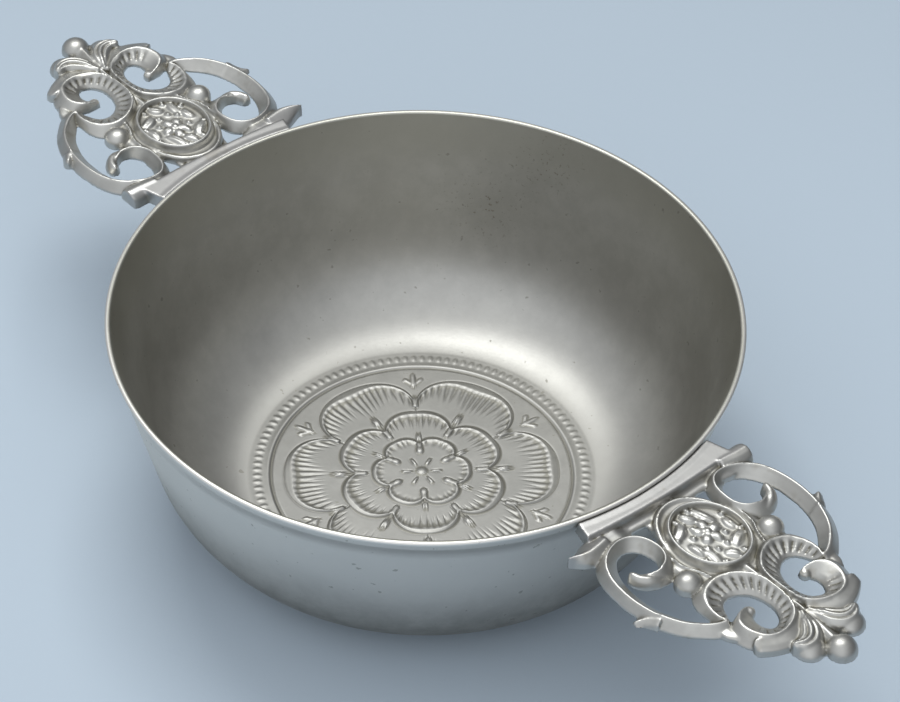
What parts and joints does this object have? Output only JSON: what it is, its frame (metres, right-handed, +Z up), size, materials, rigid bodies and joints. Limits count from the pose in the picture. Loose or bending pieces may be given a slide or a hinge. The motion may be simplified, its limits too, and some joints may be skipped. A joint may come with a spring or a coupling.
{
  "type": "porringer",
  "caption": "Shallow round pewter bowl with a cast rose in the base and a pierced scroll ear soldered to the rim on each side.",
  "frame": {"origin": "centre of the flat base, on the surface that the bowl stands on", "axes": "+Z up out of the bowl, +X out through the tip of the right ear"},
  "size_m": [0.2488, 0.1346, 0.0495],
  "materials": {
    "bowl_pewter": "satin turned pewter, greyed by age",
    "ear_pewter": "burnished cast pewter, darker in the hollows"
  },
  "bodies": {
    "root": {"bowl": "bowl_pewter", "ear_right": "ear_pewter", "ear_left": "ear_pewter"}
  },
  "joints": []
}
